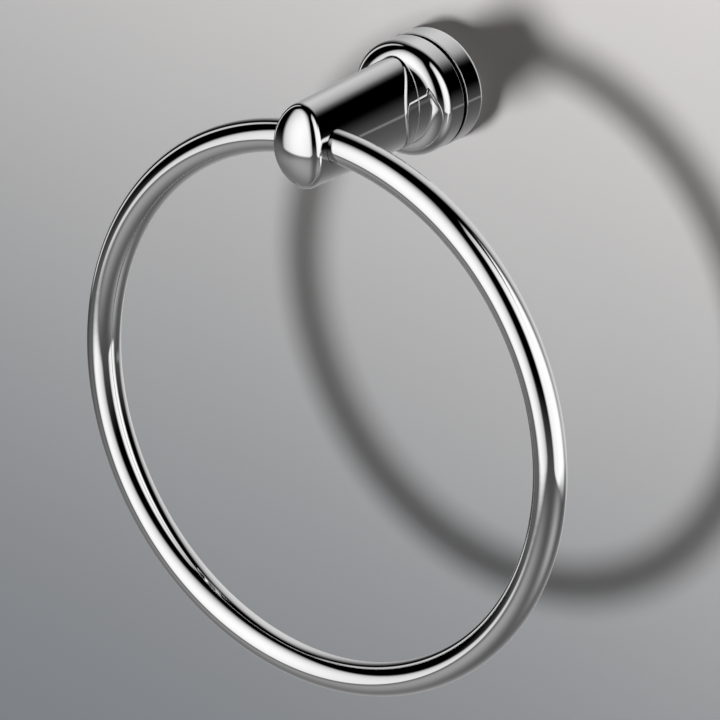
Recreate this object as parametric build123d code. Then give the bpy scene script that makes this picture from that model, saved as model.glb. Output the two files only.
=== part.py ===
from build123d import *

import math
import os

# Towel ring: a bent tube ring in an oval cast post, locked on a turned base that is screwed to the wall.
# The wall is the plane y = 0. The post stands out along -Y, +Z is up, and the origin is the centre of the
# base's back face. Distances called "reach" are measured out from the wall.

# Driving dimensions, millimetres

# Ring
ring_diameter = 166.0           # centre line of the tube
tube_diameter = 10.0
tube_wall = 1.2
tube_end_chamfer = 0.4
ring_reach = 57.0               # wall to the plane of the ring

# Oval post
post_width = 17.4
post_height_at_tip = 26.0
post_height_at_flange = 28.2
post_tip_drop = 0.5             # the oval's centre falls this much, from flange to tip
tip_overhang = 11.2             # plane of the ring to the tip, on the post's axis
tip_dome_radius = 19.8
tip_tilt = 1.6                  # degrees that the tip looks up
tip_edge_radius = 3.5

# Flange of the post
flange_diameter = 35.0
skirt_length = 5.0
flange_shoulder_radius = 5.0
post_root_fillet = 0.9
rim_chamfer = 0.25

# Base on the wall
base_rim_thickness = 7.6
base_edge_radius = 1.5          # where the rim meets the wall
groove_width = 1.5
groove_depth = 1.3
spigot_diameter = 27.0
spigot_length = 6.0
spigot_chamfer = 0.5
spigot_clearance = 0.1          # radial, between the spigot and the post's cavity
cavity_end_gap = 0.8            # in front of the spigot

# Sockets for the ends of the ring
socket_clearance = 0.12         # radial
socket_web = 5.0                # metal left between the two sockets
socket_end_gap = 0.3

# Wall screws
screw_spacing = 15.0
screw_hole_diameter = 4.5
screw_head_diameter = 8.6
screw_countersink_angle = 90.0

# Grub screw under the skirt
grub_diameter = 3.0
grub_clearance = 0.05           # radial
grub_from_skirt_back = 2.7
grub_recess = 0.4               # below the skirt's surface
grub_socket_width = 1.5         # across the flats of the hexagon
grub_socket_depth = 1.6
grub_point_chamfer = 0.5
lock_groove_depth = 1.2
lock_groove_side_gap = 0.4      # each side of the grub screw

# Worked out from the driving dimensions
ring_radius = ring_diameter / 2
tube_radius = tube_diameter / 2
flange_radius = flange_diameter / 2
spigot_radius = spigot_diameter / 2
cavity_radius = spigot_radius + spigot_clearance
skirt_back_reach = base_rim_thickness + groove_width
shoulder_reach = skirt_back_reach + skirt_length
flange_face_reach = shoulder_reach + flange_shoulder_radius
spigot_front_reach = skirt_back_reach + spigot_length
cavity_front_reach = spigot_front_reach + cavity_end_gap
tip_reach = ring_reach + tip_overhang
grub_reach = skirt_back_reach + grub_from_skirt_back
lock_groove_radius = spigot_radius - lock_groove_depth
lock_groove_width = grub_diameter + 2 * lock_groove_side_gap
ring_centre = Vector(0, -ring_reach, -ring_radius)
ring_axis = Axis((ring_centre.X, ring_centre.Y, ring_centre.Z), (0, 1, 0))
post_axis = Axis((0, 0, 0), (0, 1, 0))


def wall_plane(reach):
    """A plane parallel to the wall, its normal pointing out of the wall and its local y pointing up."""
    return Plane(origin=(0, -reach, 0), x_dir=(1, 0, 0), z_dir=(0, -1, 0))


def turned(profile):
    """Turn a half section round the post's axis. The section's x is the radius, and its y is minus the reach."""
    return revolve(make_face(profile), post_axis)


def half_gap(start_x):
    """The angle at the ring's centre from the top of the ring to the point of its centre line at start_x."""
    return math.asin(start_x / ring_radius)


def tube_plane(start_x):
    """A plane across the tube at start_x, right of the post, with its normal pointing back along the ring."""
    angle = half_gap(start_x)
    outwards = Vector(math.sin(angle), 0, math.cos(angle))
    backwards = Vector(-math.cos(angle), 0, math.sin(angle))
    return Plane(origin=ring_centre + outwards * ring_radius, x_dir=(0, 1, 0), z_dir=backwards)


def ring_arc(section, start_x):
    """Carry a section of the tube round the ring, from start_x on the right of the post to -start_x on its left."""
    arc = 360 - 2 * math.degrees(half_gap(start_x))
    return revolve(tube_plane(start_x) * section, ring_axis, revolution_arc=arc)


def make_ring():
    """The bent tube, open at the top. Each end is drawn in to a short cone, so that it finds its socket."""
    bore_radius = tube_radius - tube_wall
    end_x = socket_web / 2 + socket_end_gap
    ring = ring_arc(Circle(tube_radius) - Circle(bore_radius), end_x + tube_end_chamfer)
    lead_in = Cone(
        tube_radius,
        tube_radius - tube_end_chamfer,
        tube_end_chamfer,
        align=(Align.CENTER, Align.CENTER, Align.MIN),
    )
    lead_in -= extrude(Circle(bore_radius), tube_end_chamfer)
    right_end = tube_plane(end_x + tube_end_chamfer)
    ring += right_end * lead_in
    return ring + mirror(right_end * lead_in, Plane.YZ)


def oval(reach):
    """The post's section: its width is constant, and its height and centre change evenly from tip to flange."""
    share = (tip_reach - reach) / (tip_reach - flange_face_reach)
    height = post_height_at_tip + share * (post_height_at_flange - post_height_at_tip)
    drop = post_tip_drop * (1 - share)
    return wall_plane(reach) * Pos(0, -drop, 0) * Ellipse(post_width / 2, height / 2)


def make_flange():
    """The solid form of the flange: a flat face with a round shoulder, on a straight skirt."""
    shoulder_centre = (flange_radius - flange_shoulder_radius, -shoulder_reach)
    shoulder = CenterArc(shoulder_centre, flange_shoulder_radius, start_angle=270, arc_size=90)
    outline = Polyline(
        shoulder @ 1,
        (flange_radius, -skirt_back_reach),
        (0, -skirt_back_reach),
        (0, -flange_face_reach),
        shoulder @ 0,
    )
    flange = turned([shoulder, outline])
    rim_edges = flange.edges().filter_by_position(Axis.Y, -skirt_back_reach, -skirt_back_reach)
    return chamfer(rim_edges, rim_chamfer)


def make_post_stem():
    """The oval post with its end cut by a round-nosed bar, so that the tip is a low dome that looks a little up."""
    tilt = math.radians(tip_tilt)
    stem = loft([oval(shoulder_reach), oval(tip_reach + tip_overhang)], ruled=True)
    ball_reach = tip_reach - tip_dome_radius * math.cos(tilt)
    ball_centre = wall_plane(ball_reach) * Pos(0, -tip_dome_radius * math.sin(tilt), 0)
    nose = Sphere(tip_dome_radius) + extrude(Circle(tip_dome_radius), -ball_reach)
    stem = stem & ball_centre * nose
    tip_edges = stem.edges().filter_by(lambda edge: edge.center().Y < -ring_reach)
    return fillet(tip_edges, tip_edge_radius)


def make_cavity():
    """What is hollow behind the flange: the bore for the base's spigot."""
    depth = cavity_front_reach - skirt_back_reach
    return wall_plane(skirt_back_reach) * extrude(Circle(cavity_radius), depth)


def grub_place(reach_from_axis):
    """A plane across the grub screw, at a distance below the post's axis, with its normal pointing down."""
    return Plane(origin=(0, -grub_reach, -reach_from_axis), x_dir=(1, 0, 0), z_dir=(0, 0, -1))


def make_post():
    """The casting: stem and flange with a small fillet between them, less the cavity, sockets and screw hole."""
    stem = make_post_stem()
    flange = make_flange()
    post = stem + flange
    post = fillet(new_edges(stem, flange, combined=post), post_root_fillet)
    post -= make_cavity()
    post -= ring_arc(Circle(tube_radius + socket_clearance), socket_web / 2)
    screw_hole = Circle(grub_diameter / 2 + grub_clearance)
    return post - extrude(grub_place(lock_groove_radius) * screw_hole, flange_radius)


def make_wall_base():
    """The turned base: visible rim, groove, spigot with a locking groove, and two countersunk screw holes."""
    neck_radius = flange_radius - groove_depth
    lock_front = grub_reach + lock_groove_width / 2
    lock_back = grub_reach - lock_groove_width / 2
    half_section = Polyline(
        (0, 0),
        (flange_radius, 0),
        (flange_radius, -base_rim_thickness + rim_chamfer),
        (flange_radius - rim_chamfer, -base_rim_thickness),
        (neck_radius, -base_rim_thickness),
        (neck_radius, -skirt_back_reach),
        (spigot_radius, -skirt_back_reach),
        (spigot_radius, -lock_back),
        (lock_groove_radius, -lock_back),
        (lock_groove_radius, -lock_front),
        (spigot_radius, -lock_front),
        (spigot_radius, -spigot_front_reach + spigot_chamfer),
        (spigot_radius - spigot_chamfer, -spigot_front_reach),
        (0, -spigot_front_reach),
        close=True,
    )
    base = turned(half_section)
    wall_edge = base.edges().filter_by(GeomType.CIRCLE).sort_by(Axis.Y)[-1]
    base = fillet(wall_edge, base_edge_radius)
    countersink_depth = (screw_head_diameter - screw_hole_diameter) / 2
    countersink_depth /= math.tan(math.radians(screw_countersink_angle / 2))
    for side in (-1, 1):
        hole_line = Pos(side * screw_spacing / 2, 0, 0)
        base -= hole_line * extrude(wall_plane(0) * Circle(screw_hole_diameter / 2), spigot_front_reach)
        countersink = Cone(
            screw_hole_diameter / 2,
            screw_head_diameter / 2,
            countersink_depth,
            align=(Align.CENTER, Align.CENTER, Align.MIN),
        )
        base -= hole_line * (wall_plane(spigot_front_reach - countersink_depth) * countersink)
    return base


def make_grub_screw():
    """The set screw: a plain shank with a hexagon socket at its outer end and a broken edge at its point."""
    length = flange_radius - grub_recess - lock_groove_radius
    screw = extrude(grub_place(lock_groove_radius) * Circle(grub_diameter / 2), length)
    point_edges = screw.edges().sort_by(Axis.Z)[-1]
    screw = chamfer(point_edges, grub_point_chamfer)
    socket = RegularPolygon(grub_socket_width / 2, 6, major_radius=False)
    socket_place = grub_place(flange_radius - grub_recess - grub_socket_depth)
    return screw - extrude(socket_place * socket, grub_socket_depth)


pieces = {
    "ring": make_ring(),
    "post": make_post(),
    "wall_base": make_wall_base(),
    "grub_screw": make_grub_screw(),
}

os.makedirs("parts", exist_ok=True)
for name, shape in pieces.items():
    export_step(shape, f"parts/{name}.step")
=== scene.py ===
"""A chrome towel ring on a pale wall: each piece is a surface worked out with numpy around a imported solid.

Sizes are millimetres in the part's own frame: the wall is the plane y = 0, the post stands out along -Y and
+Z is up. "Reach" is the distance out from the wall. A patch is (points, normals, quads), with one normal to
each point, and a piece is several patches whose equal points are welded.
"""

import math

import bpy
import numpy as np
from mathutils import Matrix, Vector


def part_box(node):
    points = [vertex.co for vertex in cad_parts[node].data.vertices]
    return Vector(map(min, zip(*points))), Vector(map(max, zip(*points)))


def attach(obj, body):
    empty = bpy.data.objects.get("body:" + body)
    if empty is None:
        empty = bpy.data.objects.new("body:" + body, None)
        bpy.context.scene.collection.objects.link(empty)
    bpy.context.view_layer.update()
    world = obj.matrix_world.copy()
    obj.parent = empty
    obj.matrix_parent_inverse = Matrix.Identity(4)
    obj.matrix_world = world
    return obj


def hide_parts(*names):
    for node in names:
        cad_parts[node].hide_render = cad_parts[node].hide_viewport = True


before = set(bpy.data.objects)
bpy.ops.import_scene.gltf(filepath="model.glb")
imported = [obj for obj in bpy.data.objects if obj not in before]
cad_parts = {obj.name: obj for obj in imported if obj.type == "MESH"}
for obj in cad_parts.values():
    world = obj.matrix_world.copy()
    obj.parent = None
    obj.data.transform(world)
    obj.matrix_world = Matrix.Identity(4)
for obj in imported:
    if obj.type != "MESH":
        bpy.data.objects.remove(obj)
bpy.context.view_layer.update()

MM = 0.001
TURN = 2 * math.pi
QUARTER = TURN / 4
X, Y, Z = 0, 1, 2
ACROSS = 1.0, 0.0, 0.0
UP = 0.0, 0.0, 1.0
DOWN = 0.0, 0.0, -1.0
TO_WALL = 0.0, 1.0, 0.0
TO_ROOM = 0.0, -1.0, 0.0


def node_size(node, axis):
    """Size of a CAD node along an axis, to the nearest tenth of a millimetre."""
    low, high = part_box(node)
    return round((high[axis] - low[axis]) / MM, 1)


def node_reach(node, nearest):
    """How far out from the wall a CAD node starts or ends, to the nearest tenth of a millimetre."""
    low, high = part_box(node)
    return round(-(high if nearest else low)[Y] / MM, 1)


# Sizes read from the frame
tube_radius = node_size("ring", Y) / 2
ring_radius = node_size("ring", X) / 2 - tube_radius
ring_reach = node_reach("ring", True) + tube_radius
flange_radius = node_size("post", X) / 2
skirt_back_reach = node_reach("post", True)
spigot_front_reach = node_reach("wall_base", False)
grub_radius = node_size("grub_screw", X) / 2

# Sizes of the ring's tube and its sockets
tube_wall = 1.2
tube_end_chamfer = 0.4
socket_clearance = 0.12
socket_web = 5.0
socket_end_gap = 0.3

# Sizes of the cast post
post_width = 17.4
post_height_at_tip = 26.0
post_height_at_flange = 28.2
post_tip_drop = 0.5
tip_overhang = 11.2
tip_dome_radius = 19.8
tip_tilt = math.radians(1.6)
tip_edge_radius = 3.5
skirt_length = 5.0
flange_shoulder_radius = 5.0
post_root_fillet = 0.2          # as sharp as the photograph shows it; the solid has 0.9
rim_chamfer = 0.25              # a chamfer on the solid, and here a round of the same size

# Sizes of the turned base
base_rim_thickness = 7.6
base_edge_radius = 1.5
groove_depth = 1.3
spigot_radius = 13.5
spigot_chamfer = 0.5
spigot_clearance = 0.1
cavity_end_gap = 0.8
screw_spacing = 15.0
screw_hole_radius = 2.25
screw_head_radius = 4.3

# Sizes of the grub screw
grub_clearance = 0.05
grub_from_skirt_back = 2.7
grub_recess = 0.4
grub_socket_width = 1.5
grub_socket_depth = 1.6
grub_socket_flats = 6
grub_point_chamfer = 0.5
lock_groove_depth = 1.2
lock_groove_side_gap = 0.4
thread_pitch = 0.5
thread_depth = 0.27

# Worked out from the sizes above
shoulder_reach = skirt_back_reach + skirt_length
flange_face_reach = shoulder_reach + flange_shoulder_radius
tip_reach = ring_reach + tip_overhang
cavity_front_reach = spigot_front_reach + cavity_end_gap
cavity_radius = spigot_radius + spigot_clearance
socket_radius = tube_radius + socket_clearance
grub_reach = skirt_back_reach + grub_from_skirt_back
lock_groove_radius = spigot_radius - lock_groove_depth
half_width = post_width / 2

# Fineness of the grids: columns go round, and rows are rows of quads
ring_rows = 719
bore_rows = 179
tube_columns = 84
post_columns = 288
tip_face_rows = 39
tip_edge_rows = 20
stem_front_rows = 20
stem_rear_rows = 30
flange_rows = 47
round_rows = 12
socket_collar_rows = 12
socket_rows = 8
floor_rows = 2
drilled_face_rows = 8
diameter_steps = 40
grub_hole_rows = 10
grub_collar_rows = 5
grub_columns = 48
thread_rows = 96

# Windows that the grids leave for the sockets and the grub screw's hole: columns on each side, and margins
socket_window = post_columns // 10
socket_margin = 1.6
grub_window = post_columns // 30
grub_margin = 0.3

# Solving and welding
root_span = 0.02, 1.9           # places on the flange's front, among which the root is looked for
root_places = 40000
bisections = 48
weld_distance = 1e-3
weld_offset = 0.37              # keeps round values off the edges of the weld's cells


def unit(vectors):
    """Vectors scaled to length one."""
    return vectors / np.linalg.norm(vectors, axis=-1, keepdims=True)


def stack(x, y, z):
    """Three arrays that broadcast together, as points along the last axis."""
    return np.stack(np.broadcast_arrays(x, y, z), axis=-1).astype(float)


def around(columns):
    """Evenly spaced angles, once round."""
    return np.arange(columns) * TURN / columns


def shares(rows):
    """Even shares from 0 to 1, as a column: one for each line of points along a number of rows."""
    return np.linspace(0, 1, rows + 1)[:, None]


def patch(points, normals):
    """A grid of points and normals as a patch. Each line of points is a closed loop.

    Each quad joins a point to the next one on its own line and to the two beside them on the next line.
    """
    lines, columns = points.shape[:2]
    column = np.arange(columns)[None, :]
    next_column = (column + 1) % columns
    line = np.arange(lines - 1)[:, None] * columns
    next_line = line + columns
    corners = line + column, line + next_column, next_line + next_column, next_line + column
    quads = np.stack(corners, axis=-1).reshape(-1, 4)
    normals = np.broadcast_to(normals, points.shape)
    return points.reshape(-1, 3), normals.reshape(-1, 3), quads


def without(piece_patch, columns, row_range, column_range):
    """The patch less the quads of a window, given by its first and last row and column of points."""
    points, normals, quads = piece_patch
    row, column = np.divmod(quads[:, 0], columns)
    inside_rows = (row >= row_range[0]) & (row < row_range[1])
    inside_columns = (column - column_range[0]) % columns < column_range[1] - column_range[0]
    return points, normals, quads[~(inside_rows & inside_columns)]


def window_loop(row_range, column_range, columns):
    """Row and column numbers of the points round a window, once round."""
    first_row, last_row = row_range
    first_column, last_column = column_range
    across = np.arange(first_column, last_column)
    along = np.arange(first_row, last_row)
    row = [np.full_like(across, first_row), along, np.full_like(across, last_row), along[::-1] + 1]
    column = [across, np.full_like(along, last_column), across[::-1] + 1, np.full_like(along, first_column)]
    return np.concatenate(row), np.concatenate(column) % columns


def collar(outer, inner, rows):
    """Straight blend, in rows, from one closed loop of points to another with as many points."""
    share = shares(rows)[..., None]
    return outer * (1 - share) + inner * share


def mirrored(piece_patch):
    """The patch seen in the plane x = 0."""
    points, normals, quads = piece_patch
    flip = np.array([-1.0, 1.0, 1.0])
    return points * flip, normals * flip, quads


def swing(first, last, rows):
    """Unit vectors that turn evenly from first to last: the points of an arc about its centre.

    Each is a sum of both ends. An end's weight is the sine of the vector's angle to the other end, over the
    sine of the whole angle.
    """
    angle = np.arccos(np.clip((first * last).sum(-1), -1, 1))[None, :, None]
    share = shares(rows)[..., None]
    return (np.sin((1 - share) * angle) * first + np.sin(share * angle) * last) / np.sin(angle)


def solve(rising, low, high):
    """Where a rising function of an array crosses zero, by halving the interval."""
    for _ in range(bisections):
        middle = (low + high) / 2
        above = rising(middle) > 0
        high = np.where(above, middle, high)
        low = np.where(above, low, middle)
    return (low + high) / 2


def make_piece(name, patches, material, node):
    """Weld the patches into one smooth mesh with its exact normals, which stands in a CAD node's place.

    Quads are turned to face the way their normals point, and one that loses a side at a pole is a triangle.
    """
    starts = np.cumsum([0] + [len(points) for points, _, _ in patches])
    points = np.concatenate([points for points, _, _ in patches])
    normals = np.concatenate([normals for _, normals, _ in patches])
    quads = np.concatenate([quads + start for (_, _, quads), start in zip(patches, starts)])
    corners = points[quads]
    facing = np.cross(corners[:, 2] - corners[:, 0], corners[:, 3] - corners[:, 1])
    backwards = (facing * normals[quads].sum(1)).sum(1) < 0
    quads[backwards] = quads[backwards, ::-1]
    cells = np.floor(points / weld_distance + weld_offset).astype(np.int64)
    _, first, welded = np.unique(cells, axis=0, return_index=True, return_inverse=True)
    welded = welded.reshape(-1)
    lost_side = welded[quads] == welded[np.roll(quads, -1, axis=1)]
    whole = quads[lost_side.sum(1) == 0]
    cut = lost_side.sum(1) == 1
    triangles = quads[cut][~lost_side[cut]].reshape(-1, 3)
    corner_points = np.concatenate([welded[whole].ravel(), welded[triangles].ravel()])
    used, corner_points = np.unique(corner_points, return_inverse=True)
    faces = corner_points[:whole.size].reshape(-1, 4).tolist()
    faces += corner_points[whole.size:].reshape(-1, 3).tolist()
    mesh = bpy.data.meshes.new(name)
    mesh.from_pydata((points[first][used] * MM).tolist(), [], faces)
    mesh.polygons.foreach_set("use_smooth", np.ones(len(faces), bool))
    corner_normals = np.concatenate([normals[whole].reshape(-1, 3), normals[triangles].reshape(-1, 3)])
    mesh.normals_split_custom_set(unit(corner_normals).tolist())
    mesh.materials.append(material)
    piece = bpy.data.objects.new(name, mesh)
    bpy.context.scene.collection.objects.link(piece)
    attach(piece, "root")
    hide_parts(node)


def lathe(profile, sharp, angles):
    """A profile of (radius, reach) turned round the post's axis, one patch to each run between sharp points.

    Each run's normal is the run turned by a quarter, so the profile is listed from the back, with metal on
    its left. Points whose numbers are in sharp start a new run; the points between two of them lie on one
    smooth curve.
    """
    patches = []
    for first, last in zip(sharp[:-1], sharp[1:]):
        run = np.array(profile[first:last + 1])
        slope = np.gradient(run, axis=0) if len(run) > 2 else np.tile(run[1] - run[0], (2, 1))
        out = unit(np.stack([slope[:, 1], -slope[:, 0]], axis=-1))
        radius, reach = run[:, :1], run[:, 1:]
        points = stack(radius * np.cos(angles), -reach, radius * np.sin(angles))
        normals = stack(out[:, :1] * np.cos(angles), -out[:, 1:], out[:, :1] * np.sin(angles))
        patches.append(patch(points, normals))
    return patches


def ring_point(turn, side, radius):
    """Point and outward direction on a tube round the ring's centre line, which is a circle.

    turn is the angle from the top of the ring, towards +X. side is the angle round the tube, from the
    outside of the ring towards the room.
    """
    across = stack(np.sin(turn) * np.cos(side), -np.sin(side), np.cos(turn) * np.cos(side))
    middle = stack(ring_radius * np.sin(turn), -ring_reach, ring_radius * (np.cos(turn) - 1))
    return middle + radius * across, across


def ring_tube():
    """The bent tube: circles carried round the ring, outside and in the bore, and over both ends."""
    bore_radius = tube_radius - tube_wall
    face_radius = tube_radius - tube_end_chamfer
    end_x = socket_web / 2 + socket_end_gap
    end = math.asin(end_x / ring_radius)
    shoulder = math.asin((end_x + tube_end_chamfer) / ring_radius)
    side = around(tube_columns)[None, :]
    outside = np.linspace(shoulder, TURN - shoulder, ring_rows + 1)[:, None]
    inside = np.linspace(TURN - end, end, bore_rows + 1)[:, None]
    outer, outer_normals = ring_point(outside, side, tube_radius)
    bore, bore_normals = ring_point(inside, side, bore_radius)
    patches = [patch(outer, outer_normals), patch(bore, -bore_normals)]
    for sign in (1, -1):
        turns = sign * np.array([[shoulder], [end]])
        cone, out = ring_point(turns, side, np.array([tube_radius, face_radius])[:, None, None])
        along = stack(-sign * np.cos(turns), 0.0, np.sin(np.abs(turns)))
        patches.append(patch(cone, unit(out + along)))
        face, _ = ring_point(turns[1:], side, np.array([face_radius, bore_radius])[:, None, None])
        patches.append(patch(face, along[1:]))
    return patches


def stem_oval(reach):
    """Half the height of the post's oval section and its centre's height, which change evenly along it."""
    share = (tip_reach - reach) / (tip_reach - flange_face_reach)
    half_height = (post_height_at_tip + share * (post_height_at_flange - post_height_at_tip)) / 2
    return half_height, post_tip_drop * (share - 1)


def stem(reach, angle):
    """Point and outward normal on the oval stem: ellipses of constant width, whose height and centre change.

    Along the post, the side climbs towards the wall by the growth of the half height, times the sine of the
    angle, and the rise of the centre.
    """
    length = tip_reach - flange_face_reach
    growth = (post_height_at_flange - post_height_at_tip) / 2 / length
    climb = growth * np.sin(angle) + post_tip_drop / length
    half_height, centre = stem_oval(reach)
    upward = np.sin(angle) / half_height
    points = stack(half_width * np.cos(angle), -reach, centre + half_height * np.sin(angle))
    normals = stack(np.cos(angle) / half_width, -climb * upward, upward)
    return points, unit(normals)


def tip_rows(angle):
    """The tip: rows over the tilted sphere and over the rounded edge, and the reach where the stem begins.

    The edge is rolled by a ball that touches the sphere and the stem from inside, so its centre lies an edge
    radius inside both. The rows of the sphere are straight, seen along the post, from its pole to that edge.
    """
    ball_reach = tip_reach - tip_dome_radius * math.cos(tip_tilt)
    ball = np.array([0.0, -ball_reach, -tip_dome_radius * math.sin(tip_tilt)])

    def beyond(reach):
        points, normals = stem(reach, angle)
        from_ball = points - tip_edge_radius * normals - ball
        return np.linalg.norm(from_ball, axis=-1) - (tip_dome_radius - tip_edge_radius)

    lowest = np.full(angle.shape, ring_reach - tip_overhang)
    highest = np.full(angle.shape, tip_reach + tip_overhang)
    reach = solve(beyond, lowest, highest)
    touch, stem_normal = stem(reach, angle)
    centre = touch - tip_edge_radius * stem_normal
    ball_normal = unit(centre - ball)
    edge_normals = swing(ball_normal, stem_normal, tip_edge_rows)
    edge = centre + tip_edge_radius * edge_normals
    rim = ball + tip_dome_radius * ball_normal
    x, z = shares(tip_face_rows) * rim[:, X], shares(tip_face_rows) * rim[:, Z]
    y = ball[Y] - np.sqrt(tip_dome_radius ** 2 - x ** 2 - (z - ball[Z]) ** 2)
    face = stack(x, y, z)
    return patch(face, unit(face - ball)), patch(edge, edge_normals), reach


def flange_front(place, azimuth):
    """Point and outward normal on the flange's front, turned round the axis.

    place runs from 0 to 1 over the round shoulder, a quarter circle from the skirt to the flat face, and
    from 1 to 2 over that face to the axis.
    """
    rise = np.minimum(place, 1) * QUARTER
    face_radius = flange_radius - flange_shoulder_radius
    out = face_radius * np.minimum(2 - place, 1) + flange_shoulder_radius * np.cos(rise)
    reach = shoulder_reach + flange_shoulder_radius * np.sin(rise)
    points = stack(out * np.cos(azimuth), -reach, out * np.sin(azimuth))
    normals = stack(np.cos(rise) * np.cos(azimuth), -np.sin(rise), np.cos(rise) * np.sin(azimuth))
    return points, normals


def root_rows(angle):
    """The fillet at the post's root, its reach on the stem, and its azimuth and place on the flange's front.

    A ball of the fillet's radius touches the stem and the flange from outside: its centre lies that radius
    out from both. For a centre over the stem, the place below it comes from the flange's front moved out by
    the radius.
    """
    places = np.linspace(*root_span, root_places)
    over, over_normal = flange_front(places, 0.0)
    over = over + post_root_fillet * over_normal

    def place_below(centre):
        return np.interp(-np.hypot(centre[:, X], centre[:, Z]), -over[:, X], places)

    def height_over(reach):
        points, normals = stem(reach, angle)
        centre = points + post_root_fillet * normals
        return -centre[:, Y] - np.interp(place_below(centre), places, -over[:, Y])

    lowest = np.full(angle.shape, shoulder_reach)
    highest = np.full(angle.shape, flange_face_reach + 2 * post_root_fillet)
    reach = solve(height_over, lowest, highest)
    touch, stem_normal = stem(reach, angle)
    centre = touch + post_root_fillet * stem_normal
    azimuth = np.arctan2(centre[:, Z], centre[:, X])
    place = place_below(centre)
    _, flange_normal = flange_front(place, azimuth)
    fillet_normals = swing(stem_normal, flange_normal, round_rows)
    return patch(centre - post_root_fillet * fillet_normals, fillet_normals), reach, azimuth, place


def socket_patches(reach, angle, row_range, column_range):
    """The collar of skin round the right-hand socket, the socket's wall and its end.

    The socket is a tube round the ring's centre line, a little wider than the ring's own. Its mouth is where
    the tube leaves the oval. Each point of the window is joined to the mouth's point in its own direction.
    """
    row, column = window_loop(row_range, column_range, post_columns)
    loop_reach = reach[row, column]
    loop_angle = np.where(angle[column] > math.pi, angle[column] - TURN, angle[column])
    loop_points, _ = stem(loop_reach, loop_angle)
    mouth_height = math.sqrt(ring_radius ** 2 - half_width ** 2) - ring_radius
    side = np.arctan2(loop_reach - ring_reach, loop_points[:, Z] - mouth_height)

    def outside_oval(turn):
        points, _ = ring_point(turn, side, socket_radius)
        half_height, centre = stem_oval(-points[:, Y])
        return (points[:, X] / half_width) ** 2 + ((points[:, Z] - centre) / half_height) ** 2 - 1

    end = math.asin(socket_web / 2 / ring_radius)
    turn = solve(outside_oval, np.full(side.shape, end), np.full(side.shape, post_width / ring_radius))
    mouth, _ = ring_point(turn, side, socket_radius)
    half_height, centre = stem_oval(-mouth[:, Y])
    mouth_angle = np.arctan2((mouth[:, Z] - centre) / half_height, mouth[:, X] / half_width)
    loop = np.stack([loop_reach, loop_angle], axis=-1)
    places = collar(loop, np.stack([-mouth[:, Y], mouth_angle], axis=-1), socket_collar_rows)
    skin = patch(*stem(places[..., 0], places[..., 1]))
    depth = shares(socket_rows)
    wall, out = ring_point(turn * (1 - depth) + end * depth, side[None, :], socket_radius)
    shrink = 1 - shares(floor_rows)
    floor, _ = ring_point(np.full_like(shrink, end), side[None, :], socket_radius * shrink[..., None])
    return [skin, patch(wall, -out), patch(floor, (math.cos(end), 0.0, -math.sin(end)))]


def underside(across, reach, radius):
    """Points on the underside of a cylinder round the post's axis."""
    return stack(across, -reach, -np.sqrt(radius ** 2 - across ** 2))


def grub_hole_patches(outer_loop, inner_loop):
    """Collars round both mouths of the grub screw's hole, given as (x, reach) loops, and the hole's wall."""
    hole_radius = grub_radius + grub_clearance
    off_axis = np.array([1.0, 0.0, 1.0])
    patches, mouths, inwards = [], [], []
    for loop, radius, sign in ((outer_loop, flange_radius, 1), (inner_loop, cavity_radius, -1)):
        side = np.arctan2(loop[:, 1] - grub_reach, loop[:, 0])
        mouth = np.stack([hole_radius * np.cos(side), grub_reach + hole_radius * np.sin(side)], axis=-1)
        places = collar(loop, mouth, grub_collar_rows)
        points = underside(places[..., 0], places[..., 1], radius)
        patches.append(patch(points, sign * unit(points * off_axis)))
        mouths.append(points[-1])
        inwards.append(stack(-np.cos(side), np.sin(side), 0.0))
    patches.append(patch(np.stack(mouths), np.stack(inwards)))
    return patches


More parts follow.
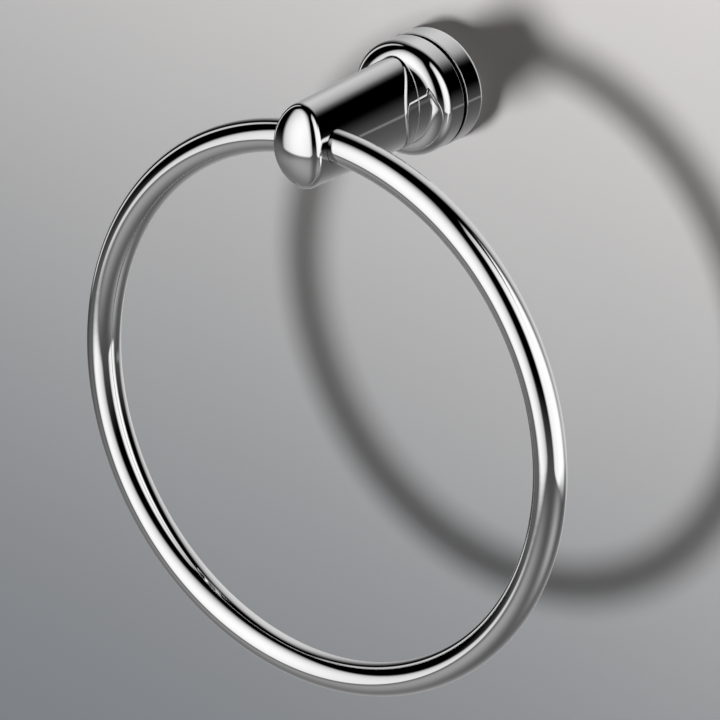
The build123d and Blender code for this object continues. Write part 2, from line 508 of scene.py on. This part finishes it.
def post_casting():
    """The cast post: tip, oval stem with two sockets, root, flat-faced flange, skirt and the cavity behind.

    Skirt and cavity are circles carried along the axis. The skirt's rim is a quarter circle turned round it.
    """
    angle = around(post_columns)
    tip_face, tip_edge, front_reach = tip_rows(angle)
    fillet, root_reach, azimuth, place = root_rows(angle)
    patches = [tip_face, tip_edge, fillet]

    socket_back_reach = ring_reach - socket_radius - socket_margin
    front = shares(stem_front_rows)
    rear = shares(stem_rear_rows)[1:]
    reach = np.concatenate([front_reach * (1 - front) + socket_back_reach * front,
                            socket_back_reach * (1 - rear) + root_reach * rear])
    skin = patch(*stem(reach, angle[None, :]))
    window_rows = 0, stem_front_rows
    right_columns = -socket_window, socket_window
    left_columns = post_columns // 2 - socket_window, post_columns // 2 + socket_window
    for columns in (right_columns, left_columns):
        skin = without(skin, post_columns, window_rows, columns)
    right = socket_patches(reach, angle, window_rows, right_columns)
    patches += [skin] + right + [mirrored(each) for each in right]

    patches.append(patch(*flange_front((1 - shares(flange_rows)) * place, azimuth)))

    bottom = 3 * post_columns // 4
    hole_columns = bottom - grub_window, bottom + grub_window
    outward = stack(np.cos(azimuth), 0.0, np.sin(azimuth))
    back_edge = skirt_back_reach + rim_chamfer
    half_hole = grub_radius + grub_clearance + grub_margin
    near_hole, past_hole = grub_reach - half_hole, grub_reach + half_hole
    skirt_reaches = np.linspace(shoulder_reach, near_hole, grub_hole_rows + 1)
    skirt_reaches = np.append(skirt_reaches, back_edge)
    cavity_reaches = np.linspace(past_hole, near_hole, grub_hole_rows + 1)
    cavity_reaches = np.concatenate([[cavity_front_reach], cavity_reaches, [skirt_back_reach]])
    hole_loops = []
    for reaches, radius, sign, first_row in ((skirt_reaches, flange_radius, 1, 0),
                                             (cavity_reaches, cavity_radius, -1, 1)):
        points = radius * outward[None] + stack(0.0, -reaches, 0.0)[:, None]
        hole_rows = first_row, first_row + grub_hole_rows
        patches.append(without(patch(points, sign * outward[None]), post_columns, hole_rows, hole_columns))
        row, column = window_loop(hole_rows, hole_columns, post_columns)
        hole_loops.append(np.stack([points[row, column, X], reaches[row]], axis=-1))
    patches += grub_hole_patches(*hole_loops)

    def disc(radii, reaches, normal):
        points = np.array(radii)[:, None, None] * outward
        return patch(points + stack(0.0, -np.array(reaches), 0.0)[:, None], normal)

    rim_radius = flange_radius - rim_chamfer
    bend = QUARTER * shares(round_rows)[:, 0]
    rim_normals = np.cos(bend)[:, None, None] * outward + np.sin(bend)[:, None, None] * np.array(TO_WALL)
    rim_reaches = back_edge - rim_chamfer * np.sin(bend)
    patches.append(disc(rim_radius + rim_chamfer * np.cos(bend), rim_reaches, rim_normals))
    patches.append(disc((rim_radius, cavity_radius), (skirt_back_reach, skirt_back_reach), TO_WALL))
    floor_radii = cavity_radius * (1 - shares(floor_rows)[:, 0])
    patches.append(disc(floor_radii, np.full_like(floor_radii, cavity_front_reach), TO_WALL))
    return patches


def drilled_face(radius, reach, hole_radius, normal):
    """A flat round face with two holes on its X axis, and the directions from a hole's centre to its points.

    Each half is a blend from its outline, a half circle closed by the diameter, to the hole's circle.
    """
    half = around(post_columns)[:post_columns // 2 + 1] - QUARTER
    rim = radius * np.stack([np.cos(half), np.sin(half)], axis=-1)
    heights = np.linspace(radius, -radius, diameter_steps + 1)[1:-1]
    outline = np.concatenate([rim, np.stack([np.zeros_like(heights), heights], axis=-1)])
    centre = np.array([screw_spacing / 2, 0.0])
    ways = unit(outline - centre)
    places = collar(outline, centre + hole_radius * ways, drilled_face_rows)
    face = patch(stack(places[..., 0], -reach, places[..., 1]), normal)
    return [face, mirrored(face)], ways


def quarter_round(radius, reach, bend, start):
    """Profile of a rounded edge: a quarter circle of radius bend about (radius, reach), from an angle."""
    angles = start + QUARTER * shares(round_rows)[:, 0]
    return list(zip(radius + bend * np.cos(angles), reach + bend * np.sin(angles)))


def wall_base_turning():
    """The turned base: a profile turned round the axis, and two flat faces with two countersunk holes.

    A hole's wall joins the circles at its ends, and its countersink is a cone of 90 degrees.
    """
    neck_radius = flange_radius - groove_depth
    lock_back = grub_reach - grub_radius - lock_groove_side_gap
    lock_front = grub_reach + grub_radius + lock_groove_side_gap
    edge = quarter_round(flange_radius - base_edge_radius, base_edge_radius, base_edge_radius, -QUARTER)
    rim = quarter_round(flange_radius - rim_chamfer, base_rim_thickness - rim_chamfer, rim_chamfer, 0.0)
    profile = edge + rim + [
        (neck_radius, base_rim_thickness),
        (neck_radius, skirt_back_reach),
        (spigot_radius, skirt_back_reach),
        (spigot_radius, lock_back),
        (lock_groove_radius, lock_back),
        (lock_groove_radius, lock_front),
        (spigot_radius, lock_front),
        (spigot_radius, spigot_front_reach - spigot_chamfer),
        (spigot_radius - spigot_chamfer, spigot_front_reach),
    ]
    rounded = len(edge) + len(rim)
    sharp = [0, len(edge) - 1, len(edge)] + list(range(rounded - 1, len(profile)))
    patches = lathe(profile, sharp, around(post_columns))
    front_radius = spigot_radius - spigot_chamfer
    back, back_ways = drilled_face(flange_radius - base_edge_radius, 0.0, screw_hole_radius, TO_WALL)
    front, front_ways = drilled_face(front_radius, spigot_front_reach, screw_head_radius, TO_ROOM)
    sink_reach = spigot_front_reach - (screw_head_radius - screw_hole_radius)

    def circle(ways, radius, reach):
        return stack(screw_spacing / 2 + radius * ways[:, 0], -reach, radius * ways[:, 1])

    sink_foot = circle(front_ways, screw_hole_radius, sink_reach)
    shank = np.stack([circle(back_ways, screw_hole_radius, 0.0), sink_foot])
    sink = np.stack([sink_foot, circle(front_ways, screw_head_radius, spigot_front_reach)])
    inward = np.stack([-stack(ways[:, 0], 0.0, ways[:, 1]) for ways in (back_ways, front_ways)])
    hole = [patch(shank, inward), patch(sink, unit(inward[1:] + np.array(TO_ROOM)))]
    return patches + back + front + hole + [mirrored(each) for each in hole]


def grid_normals(points):
    """Normals of a grid closed in its columns: the cross product of the steps to the neighbours."""
    along = np.gradient(points, axis=0)
    across = np.roll(points, -1, axis=1) - np.roll(points, 1, axis=1)
    return unit(np.cross(along, across))


def grub_screw():
    """The set screw: a threaded shank with a hexagon socket in its lower end and a chamfered point.

    The thread is a wave of the radius that climbs one pitch in each turn and fades out at both ends. The
    socket's radius is half its width over the cosine of the angle from the middle of the nearest flat.
    """
    angles = around(grub_columns)[None, :]
    end = flange_radius - grub_recess
    point = lock_groove_radius
    height = np.linspace(point + grub_point_chamfer, end, thread_rows + 1)[:, None]
    wave = np.abs((height / thread_pitch + angles / TURN) % 1.0 - 0.5) * 2
    fade = np.clip(np.minimum(height - height[0], height[-1] - height) / thread_pitch, 0, 1)
    flat_turn = TURN / grub_socket_flats
    flat = (angles + flat_turn / 2) % flat_turn - flat_turn / 2
    hexagon = grub_socket_width / 2 / np.cos(flat)

    def rings(radii, heights):
        return stack(radii * np.cos(angles), -grub_reach - radii * np.sin(angles), -heights)

    def rows(radii, heights):
        radii = np.concatenate([np.broadcast_to(each, angles.shape) for each in radii])
        return rings(radii, np.array(heights)[:, None])

    tip_radius = grub_radius - grub_point_chamfer
    floor = end - grub_socket_depth
    outward = stack(np.cos(angles), -np.sin(angles), 0.0)
    flat_normal = stack(np.cos(angles - flat), -np.sin(angles - flat), 0.0)
    point_normal = unit(outward + np.array(UP))
    shank = rings(grub_radius - thread_depth * wave * fade, height)
    thread_normals = grid_normals(shank)
    thread_normals *= np.sign((thread_normals * outward).sum(-1, keepdims=True))
    return [
        patch(rows((0.0, tip_radius), (point, point)), UP),
        patch(rows((tip_radius, grub_radius), (point, point + grub_point_chamfer)), point_normal),
        patch(shank, thread_normals),
        patch(rows((grub_radius, hexagon), (end, end)), DOWN),
        patch(rows((hexagon, hexagon), (end, floor)), -flat_normal),
        patch(rows((hexagon, 0.0), (floor, floor)), DOWN),
    ]


# Chrome plate: tints, roughness and the scales of its detail
chrome_tints = (0.845, 0.845, 0.850, 1.0), (0.886, 0.883, 0.885, 1.0)
chrome_roughness = 0.012, 0.040
haze_size = 18.0
haze_detail = 3.0
polish_size = 0.9
polish_detail = 2.0
polish_share = 0.25
peel_size = 4.5
peel_detail = 2.0
peel_height = 0.006
# Painted shade: the groove between the skirt and the base is painted near black, and is matt there
painted_groove_shade = (0.012, 0.012, 0.013, 1.0)
groove_roughness = 0.55
groove_edge = 0.2
turning_pitch = 0.3
turning_height = 0.01
turned_roughness = 0.28

# Blackened steel of the set screw
steel_tints = (0.020, 0.020, 0.022, 1.0), (0.065, 0.062, 0.058, 1.0)
steel_metallic = 0.9
steel_roughness = 0.32, 0.55
steel_size = 0.5
steel_detail = 4.0
steel_grain_height = 0.004

# The middle part of a noise's values, over which a roughness changes
noise_span = 0.3, 0.7

# Numbers of a Mix node's sockets for colours
mix_share, mix_first, mix_last = 0, 6, 7
mix_result = 2


class Nodes:
    """A node tree, and short ways to add and link the nodes that the finishes and the studio need."""

    def __init__(self, tree):
        self.tree = tree

    def add(self, kind):
        """A new node of a kind."""
        return self.tree.nodes.new("ShaderNode" + kind)

    def put(self, socket, value):
        """Link a socket to another, or set its own value."""
        if isinstance(value, bpy.types.NodeSocket):
            self.tree.links.new(value, socket)
        else:
            socket.default_value = value

    def calc(self, operation, *values):
        """The output of a Math node."""
        node = self.add("Math")
        node.operation = operation
        for socket, value in zip(node.inputs, values):
            self.put(socket, value)
        return node.outputs[0]

    def product(self, first, *others):
        """All values multiplied together."""
        for each in others:
            first = self.calc("MULTIPLY", first, each)
        return first

    def along(self, vector, direction):
        """The part of a vector along a direction."""
        node = self.add("VectorMath")
        node.operation = "DOT_PRODUCT"
        self.put(node.inputs[0], vector)
        node.inputs[1].default_value = direction
        return node.outputs["Value"]

    def place(self):
        """The object's own coordinates, in metres."""
        return self.add("TexCoord").outputs["Object"]

    def measure(self, direction):
        """The place along a direction, in millimetres."""
        return self.along(self.place(), tuple(part / MM for part in direction))

    def fade(self, value, low, high, first=0.0, last=1.0):
        """Smooth step from the first value at the low end to the last value at the high end."""
        node = self.add("MapRange")
        node.interpolation_type = "SMOOTHSTEP"
        sockets = "Value", "From Min", "From Max", "To Min", "To Max"
        for socket, each in zip(sockets, (value, low, high, first, last)):
            self.put(node.inputs[socket], each)
        return node.outputs["Result"]

    def noise(self, size, detail):
        """Noise on the object's own coordinates, with waves of about the given size in millimetres."""
        node = self.add("TexNoise")
        self.put(node.inputs["Vector"], self.place())
        self.put(node.inputs["Scale"], 1 / (size * MM))
        self.put(node.inputs["Detail"], detail)
        return node.outputs["Fac"]

    def blend(self, share, first, last):
        """Colour that goes from the first to the last as the share goes from 0 to 1."""
        node = self.add("Mix")
        node.data_type = "RGBA"
        self.put(node.inputs[mix_share], share)
        self.put(node.inputs[mix_first], first)
        self.put(node.inputs[mix_last], last)
        return node.outputs[mix_result]

    def bump(self, height):
        """Normal of a surface raised by a height in millimetres."""
        node = self.add("Bump")
        self.put(node.inputs["Strength"], 1.0)
        self.put(node.inputs["Distance"], MM)
        self.put(node.inputs["Height"], height)
        return node.outputs["Normal"]

    def clear_surface(self):
        """A shader that lets all light through."""
        return self.add("BsdfTransparent").outputs[0]

    def show(self, share, first, last):
        """Show a mix of two shaders, from the first to the last as the share goes from 0 to 1."""
        node = self.add("MixShader")
        for socket, value in zip(node.inputs, (share, first, last)):
            self.put(socket, value)
        self.put(self.tree.nodes["Material Output"].inputs["Surface"], node.outputs[0])


def new_finish(name, metallic):
    """A material with its nodes and its shader."""
    material = bpy.data.materials.new(name)
    material.use_nodes = True
    shader = material.node_tree.nodes["Principled BSDF"]
    shader.inputs["Metallic"].default_value = metallic
    return material, Nodes(material.node_tree), shader


def chrome():
    """Mirror-polished chrome plate: a faint haze in patches, polishing marks, and a slight waviness.

    The groove between the skirt and the base is painted near black, a painted shade in that recess, and the
    base's back is left as it was turned, with fine rings round its centre.
    """
    material, nodes, shader = new_finish("polished_chrome", metallic=1.0)
    across, reach, height = nodes.measure(ACROSS), nodes.measure(TO_ROOM), nodes.measure(UP)
    square = nodes.calc("ADD", nodes.product(across, across), nodes.product(height, height))
    radius = nodes.calc("SQRT", square)
    rim = flange_radius - rim_chamfer
    # Painted shade: this mask paints the groove between the skirt and the base near black
    groove = nodes.product(
        nodes.fade(radius, rim, rim - groove_edge),
        nodes.calc("GREATER_THAN", reach, base_rim_thickness - rim_chamfer / 2),
        nodes.calc("LESS_THAN", reach, skirt_back_reach + rim_chamfer / 2),
    )
    back = nodes.calc("LESS_THAN", reach, rim_chamfer / 2)

    haze, polish = nodes.noise(haze_size, haze_detail), nodes.noise(polish_size, polish_detail)
    wear = nodes.calc("ADD", nodes.product(haze, 1 - polish_share), nodes.product(polish, polish_share))
    plate = nodes.blend(haze, *chrome_tints)
    nodes.put(shader.inputs["Base Color"], nodes.blend(groove, plate, painted_groove_shade))
    roughness = nodes.fade(wear, *noise_span, *chrome_roughness)
    roughness = nodes.calc("MAXIMUM", roughness, nodes.product(groove, groove_roughness))
    roughness = nodes.calc("MAXIMUM", roughness, nodes.product(back, turned_roughness))
    nodes.put(shader.inputs["Roughness"], roughness)
    peel = nodes.product(nodes.noise(peel_size, peel_detail), peel_height)
    turning = nodes.calc("SINE", nodes.product(radius, TURN / turning_pitch))
    waves = nodes.calc("ADD", peel, nodes.product(turning, back, turning_height))
    nodes.put(shader.inputs["Normal"], nodes.bump(waves))
    return material


def blackened_steel():
    """Blackened steel: dark, uneven oxide with a fine grain."""
    material, nodes, shader = new_finish("dark_steel", steel_metallic)
    oxide = nodes.noise(steel_size, steel_detail)
    nodes.put(shader.inputs["Base Color"], nodes.blend(oxide, *steel_tints))
    nodes.put(shader.inputs["Roughness"], nodes.fade(oxide, *noise_span, *steel_roughness))
    nodes.put(shader.inputs["Normal"], nodes.bump(nodes.product(oxide, steel_grain_height)))
    return material


polished_chrome = chrome()
make_piece("ring_tube", ring_tube(), polished_chrome, "ring")
make_piece("post_casting", post_casting(), polished_chrome, "post")
make_piece("wall_base_turning", wall_base_turning(), polished_chrome, "wall_base")
make_piece("set_screw", grub_screw(), blackened_steel(), "grub_screw")

# Camera at the photograph's angle
camera_azimuth = math.radians(39.33)
camera_elevation = math.radians(20.42)
camera_roll = math.radians(-2.27)
camera_distance = 6000.0
camera_focal_pixels = 20738.4
camera_shift_right = 13.175
camera_shift_up = -63.805
camera_clip_end = 100.0         # metres
image_pixels = 720.0


def place_camera():
    """A long lens, aimed along the photograph's direction and moved sideways until the ring is in place."""
    back = Vector((math.sin(camera_azimuth) * math.cos(camera_elevation),
                   -math.cos(camera_azimuth) * math.cos(camera_elevation),
                   math.sin(camera_elevation)))
    right = (-back).cross(Vector(UP)).normalized()
    up = right.cross(-back)
    cosine, sine = math.cos(camera_roll), math.sin(camera_roll)
    right, up = cosine * right + sine * up, cosine * up - sine * right
    ring_top = Vector(TO_ROOM) * ring_reach
    place = back * camera_distance + right * camera_shift_right + up * camera_shift_up + ring_top
    data = bpy.data.cameras.new("camera")
    data.lens = data.sensor_width * camera_focal_pixels / image_pixels
    data.clip_end = camera_clip_end
    camera = bpy.data.objects.new("camera", data)
    turned = Matrix((right, up, back)).transposed().to_4x4()
    turned.translation = place * MM
    camera.matrix_world = turned
    bpy.context.scene.collection.objects.link(camera)
    bpy.context.scene.camera = camera


place_camera()

# The studio's panels. A panel's left, right, bottom and top are each (dark end, bright end) on an upright
# plane one unit away, its spot is its brightest point there, and its spread is how far the light reaches
# from the spot. Azimuths are degrees.
panels = [
    dict(azimuth=-9.7, left=(-1.06, -0.81), right=(0.865, 0.52), bottom=(-0.475, -0.375), top=(2.85, 2.0),
         spot=(-0.19, 0.24), spread=(0.93, 1.60), strength=1.145),
    dict(azimuth=106.0, left=(-0.97, -0.63), right=(0.17, -0.06), bottom=(-0.54, -0.47), top=(2.35, 2.0),
         spot=(-0.31, 0.34), spread=(0.85, 1.97), strength=1.12),
    dict(azimuth=200.7, left=(-1.57, -0.745), right=(1.0, 0.08), bottom=(-0.65, -0.32), top=(3.1, 1.5),
         spot=(-0.06, 0.30), spread=(1.17, 1.81), strength=0.723),
    dict(azimuth=262.5, left=(-0.16, -0.09), right=(0.14, 0.08), bottom=(-0.29, -0.22), top=(1.9, 1.3),
         spot=(0.0, 0.0), spread=(0.50, 2.5), strength=0.68),
    dict(azimuth=292.0, left=(-0.50, -0.10), right=(0.50, 0.10), bottom=(-0.90, -0.50), top=(-0.10, -0.30),
         spot=(0.0, -0.40), spread=(1.0, 1.0), strength=0.055),
    dict(azimuth=145.0, left=(-0.35, -0.20), right=(0.35, 0.20), bottom=(-0.42, -0.372),
         top=(-0.325, -0.372), spot=(0.0, -0.37), spread=(1.0, 1.0), strength=0.15),
]

# The studio's floor, and the pools of light on it by (azimuth, elevation, strength, focus). Both rise from
# nothing to their full light between two heights of the ray.
studio_floor = 0.080
studio_floor_rise = 0.08, -0.46
pools = (-25.6, -37.5, 0.285, 5.8), (97.0, -46.0, 0.33, 15.0), (218.0, -35.5, 0.285, 5.0)
pool_rise = -0.30, -0.55


def towards(azimuth, elevation=0.0):
    """A direction by azimuth, from straight out of the wall towards +X, and elevation, both in degrees."""
    turn, lift = math.radians(azimuth), math.radians(elevation)
    return math.sin(turn) * math.cos(lift), -math.cos(turn) * math.cos(lift), math.sin(lift)


def light_panel(nodes, ray, azimuth, left, right, bottom, top, spot, spread, strength):
    """An upright soft panel, one unit away: bright inside soft edges, and fading from its brightest spot.

    The ray meets the panel's plane at (its part across the panel, its height) over its part towards the
    panel. The light fades by the exponential of minus the squared distance from the spot, in spreads.
    """
    depth = nodes.along(ray, towards(azimuth))
    sideways = towards(azimuth + math.degrees(QUARTER))
    across = nodes.calc("DIVIDE", nodes.along(ray, sideways), depth)
    height = nodes.calc("DIVIDE", nodes.along(ray, UP), depth)
    distance = 0.0
    for place, centre, width in zip((across, height), spot, spread):
        step = nodes.calc("DIVIDE", nodes.calc("SUBTRACT", place, centre), width)
        distance = nodes.calc("ADD", nodes.product(step, step), distance)
    return nodes.product(
        nodes.calc("GREATER_THAN", depth, 0.0),
        nodes.fade(across, *left),
        nodes.fade(across, *right),
        nodes.fade(height, *bottom),
        nodes.fade(height, *top),
        nodes.calc("EXPONENT", nodes.product(distance, -1.0)),
        strength,
    )


def studio():
    """The room that the chrome mirrors: soft panels in the dark, over a grey floor with pools of light."""
    world = bpy.data.worlds.new("studio")
    world.use_nodes = True
    bpy.context.scene.world = world
    world.cycles_visibility.diffuse = False
    nodes = Nodes(world.node_tree)
    ray = nodes.add("TexCoord").outputs["Generated"]
    lift = nodes.along(ray, UP)
    light = nodes.fade(lift, *studio_floor_rise, 0.0, studio_floor)
    for panel in panels:
        light = nodes.calc("ADD", light, light_panel(nodes, ray, **panel))
    for azimuth, elevation, strength, focus in pools:
        facing = nodes.calc("MAXIMUM", nodes.along(ray, towards(azimuth, elevation)), 0.0)
        pool = nodes.product(nodes.calc("POWER", facing, focus), nodes.fade(lift, *pool_rise), strength)
        light = nodes.calc("ADD", light, pool)
    nodes.put(world.node_tree.nodes["Background"].inputs["Color"], light)


# The stage: a wall painted darker at its foot and paler at its top, a painted light falloff, and a pale room
# round it
wall_clearance = 0.3
# The wall's two tints are a painted light falloff: darker at the foot, paler at the top; the room's tints
# barely differ
wall_falloff_tints = (0.199, 0.213, 0.231, 1.0), (0.827, 0.802, 0.787, 1.0)
room_tints = (0.60, 0.60, 0.60, 1.0), (0.64, 0.64, 0.64, 1.0)
painted_falloff_way = 0.213, 0.0, 0.977
painted_falloff_span = -301.0, 262.0
room_low = -1500.0, -2500.0, -900.0
room_high = 1500.0, wall_clearance, 1500.0

# Sides of the room's box by their corners, which are numbered low before high, first in x, then y, then z
wall_side = [(2, 6, 7, 3)]
room_sides = [(0, 4, 6, 2), (1, 3, 7, 5), (0, 2, 3, 1), (4, 5, 7, 6), (0, 1, 5, 4)]

# The glowing card, a painted reflection of lit wall that only the chrome sees, and no lamp. Its left edge
# and its foot, which slants, are each (clear end, bright end).
card_left = 101.0, 146.0
card_right = 540.0
card_foot = -82.0, -48.0
card_foot_slope = 0.43
card_low, card_high = -320.0, 80.0
card_light = 1.15

# The lamps: a key and a softer, warmer fill share the plain level at which the wall's paint shows as it is
# written, and three more light the room's other sides
plain_level = math.pi
plain_tint = 1.0, 1.0, 1.0
key_way = 30.0, 57.0, 17.3
key_angle = math.radians(12.5)
key_share = 0.89
wall_fill_angle = math.radians(60.0)
wall_fill_tint = 1.0, 0.95, 0.88
room_ways = (1.0, -1.0, -1.0), (-1.0, -1.0, -1.0), (0.0, 0.0, 1.0)
room_level = 2.7


def backdrop_paint(name, tints):
    """Matt paint, see-through from behind, that goes from one tint to another up a slanted height: a painted
    light falloff.
    """
    material, nodes, shader = new_finish(name, metallic=0.0)
    # Painted light falloff: the colour goes from the darker to the paler tint up the slanted height
    painted_falloff = nodes.fade(nodes.measure(painted_falloff_way), *painted_falloff_span)
    nodes.put(shader.inputs["Base Color"], nodes.blend(painted_falloff, *tints))
    shader.inputs["Roughness"].default_value = 1.0
    shader.inputs["Specular IOR Level"].default_value = 0.0
    behind = nodes.add("NewGeometry").outputs["Backfacing"]
    nodes.show(behind, shader.outputs[0], nodes.clear_surface())
    return material


def stage_piece(name, corners, faces, material):
    """A flat-sided part of the stage, from its corners. It casts no shadow and lights no matt surface."""
    mesh = bpy.data.meshes.new(name)
    mesh.from_pydata((np.array(corners) * MM).tolist(), [], faces)
    mesh.materials.append(material)
    piece = bpy.data.objects.new(name, mesh)
    bpy.context.scene.collection.objects.link(piece)
    piece.visible_diffuse = False
    piece.visible_shadow = False
    return piece


def backdrop(name, faces, material):
    """Sides of the room's box, facing inwards, which take the object's shadow and aren't mirrored in it."""
    x, y, z = zip(room_low, room_high)
    corners = [(each_x, each_y, each_z) for each_x in x for each_y in y for each_z in z]
    sides = stage_piece(name, corners, faces, material)
    sides.visible_glossy = False


def glowing_reflection_card():
    """A glowing card at the wall, right of the ring, which only the chrome sees: a painted reflection, not a
    lamp.
    """
    material = bpy.data.materials.new("card_light")
    material.use_nodes = True
    nodes = Nodes(material.node_tree)
    across, slanted_height = nodes.measure(ACROSS), nodes.measure((card_foot_slope, 0.0, 1.0))
    bright = nodes.product(nodes.fade(across, *card_left), nodes.fade(slanted_height, *card_foot))
    # Painted reflection: the card glows where it is bright, and only the chrome sees it
    light = nodes.add("Emission")
    light.inputs["Strength"].default_value = card_light
    nodes.show(bright, nodes.clear_surface(), light.outputs[0])
    corners = [(card_left[0], 0.0, card_low), (card_right, 0.0, card_low),
               (card_right, 0.0, card_high), (card_left[0], 0.0, card_high)]
    card = stage_piece("card", corners, [(0, 1, 2, 3)], material)
    card.visible_camera = False


def lamp(name, way, level, angle, tint=plain_tint):
    """A distant lamp that shines along a direction. The chrome mirrors the studio's panels in its place."""
    data = bpy.data.lights.new(name, "SUN")
    data.energy = level
    data.angle = angle
    data.color = tint
    sun = bpy.data.objects.new(name, data)
    sun.rotation_euler = Vector(way).to_track_quat("-Z", "Y").to_euler()
    sun.visible_glossy = False
    bpy.context.scene.collection.objects.link(sun)


studio()
backdrop("wall", wall_side, backdrop_paint("wall_falloff_paint", wall_falloff_tints))
backdrop("room", room_sides, backdrop_paint("room_paint", room_tints))
glowing_reflection_card()
key_slant = Vector(key_way).normalized().y
lamp("key", key_way, key_share * plain_level / key_slant, key_angle)
lamp("wall_fill", TO_WALL, (1 - key_share) * plain_level, wall_fill_angle, wall_fill_tint)
for number, way in enumerate(room_ways):
    lamp(f"fill_{number}", way, room_level, key_angle)

bpy.context.scene.view_settings.view_transform = "Standard"
